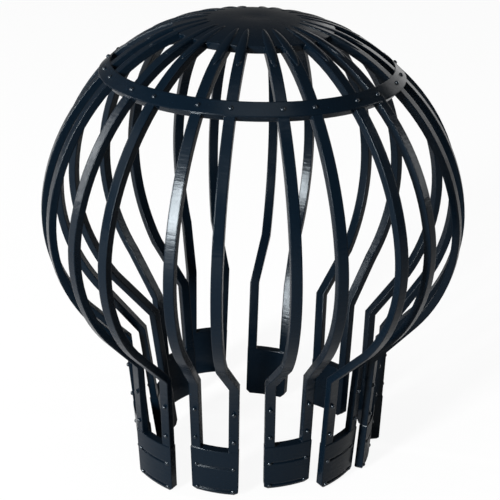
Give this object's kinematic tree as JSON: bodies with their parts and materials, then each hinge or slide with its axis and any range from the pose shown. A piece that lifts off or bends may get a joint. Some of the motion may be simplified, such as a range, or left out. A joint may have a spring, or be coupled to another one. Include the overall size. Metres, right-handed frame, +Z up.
{
  "type": "downpipe leaf filter",
  "caption": "Black moulded plastic leaf filter: a ball of paired ribs under a domed crown, with sprung legs that push into a round downpipe.",
  "frame": {"origin": "on the axis, at the height where the ball's narrow end sits on the rim of the downpipe", "axes": "+Z up the axis towards the domed crown, the legs reach down along -Z; -Y is the front, between two pairs of ribs"},
  "size_m": [0.1007, 0.1016, 0.1149],
  "materials": {
    "plastic": "black moulded polypropylene, satin to gloss"
  },
  "bodies": {
    "root": {"leaf_filter": "plastic"}
  },
  "joints": []
}
